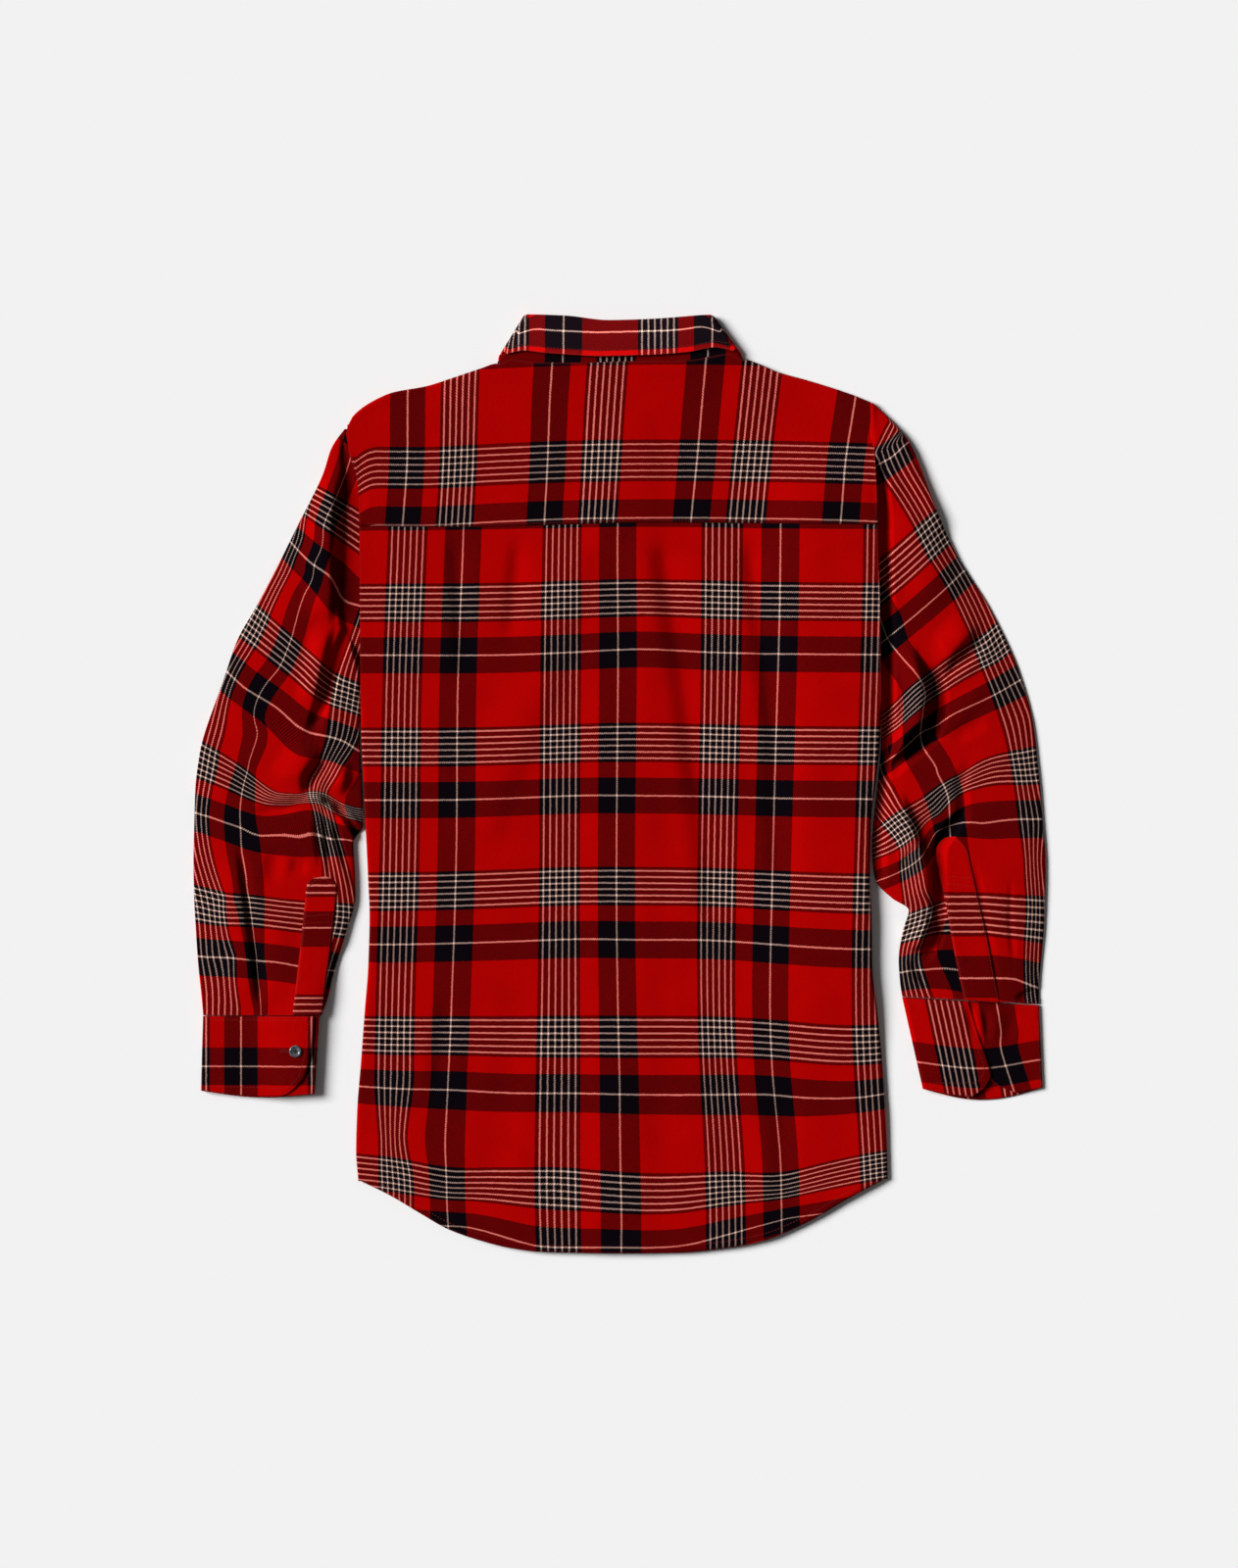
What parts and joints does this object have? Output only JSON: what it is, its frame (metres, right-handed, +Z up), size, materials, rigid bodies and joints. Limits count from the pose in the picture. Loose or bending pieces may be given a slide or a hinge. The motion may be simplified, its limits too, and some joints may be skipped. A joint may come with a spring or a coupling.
{
  "type": "flannel shirt",
  "caption": "Long-sleeved plaid flannel shirt laid flat on its front, back up, with a folded collar, back yoke, bent sleeves, barrel cuffs and a curved hem",
  "frame": {"origin": "middle of the shirt's bounding box, on the surface it lies on", "axes": "+X towards the wearer's right sleeve, +Y towards the collar, +Z up from the surface, out of the shirt's back"},
  "size_m": [0.8007, 0.8804, 0.0128],
  "materials": {
    "flannel": "brushed cotton flannel, red, navy and cream plaid",
    "button": "dark pearly grey resin, glossy"
  },
  "bodies": {
    "root": {"back": "flannel", "yoke": "flannel", "front_left": "flannel", "front_right": "flannel", "front_band": "flannel", "collar_stand": "flannel", "collar_leaf": "flannel", "sleeve_left": "flannel", "sleeve_right": "flannel", "sleeve_strip_left": "flannel", "sleeve_strip_right": "flannel", "cuff_left": "flannel", "cuff_right": "flannel", "button_front_1": "button", "button_front_2": "button", "button_front_3": "button", "button_front_4": "button", "button_front_5": "button", "button_front_6": "button", "button_front_7": "button", "button_collar": "button", "button_cuff_left": "button"}
  },
  "joints": []
}
